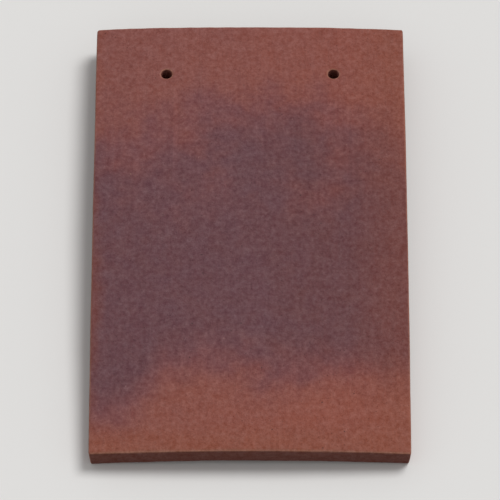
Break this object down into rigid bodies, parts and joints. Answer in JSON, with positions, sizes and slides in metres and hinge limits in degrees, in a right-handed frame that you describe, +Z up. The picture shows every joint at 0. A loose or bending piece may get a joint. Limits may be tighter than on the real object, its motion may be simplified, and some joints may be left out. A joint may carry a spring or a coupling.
{
  "type": "clay roof tile",
  "caption": "Rectangular clay roof tile, slightly cambered both ways, with soft edges, nibs that hook over a batten and nail holes near its head.",
  "frame": {"origin": "centre of the bounding box in plan, on the level plane that the nib feet and the tail corners rest on", "axes": "+X across the tile to its right side seen from the tail, +Y from the tail to the head, +Z up out of the weather face; the tile's own normal leans 1.6 degrees toward the tail, because the tile lies on its nibs"},
  "size_m": [0.1648, 0.2648, 0.0232],
  "materials": {
    "fired_clay": "matt, unglazed, finely sanded; red-brown body with purple-grey flashing"
  },
  "bodies": {
    "root": {"clay_tile": "fired_clay"}
  },
  "joints": []
}
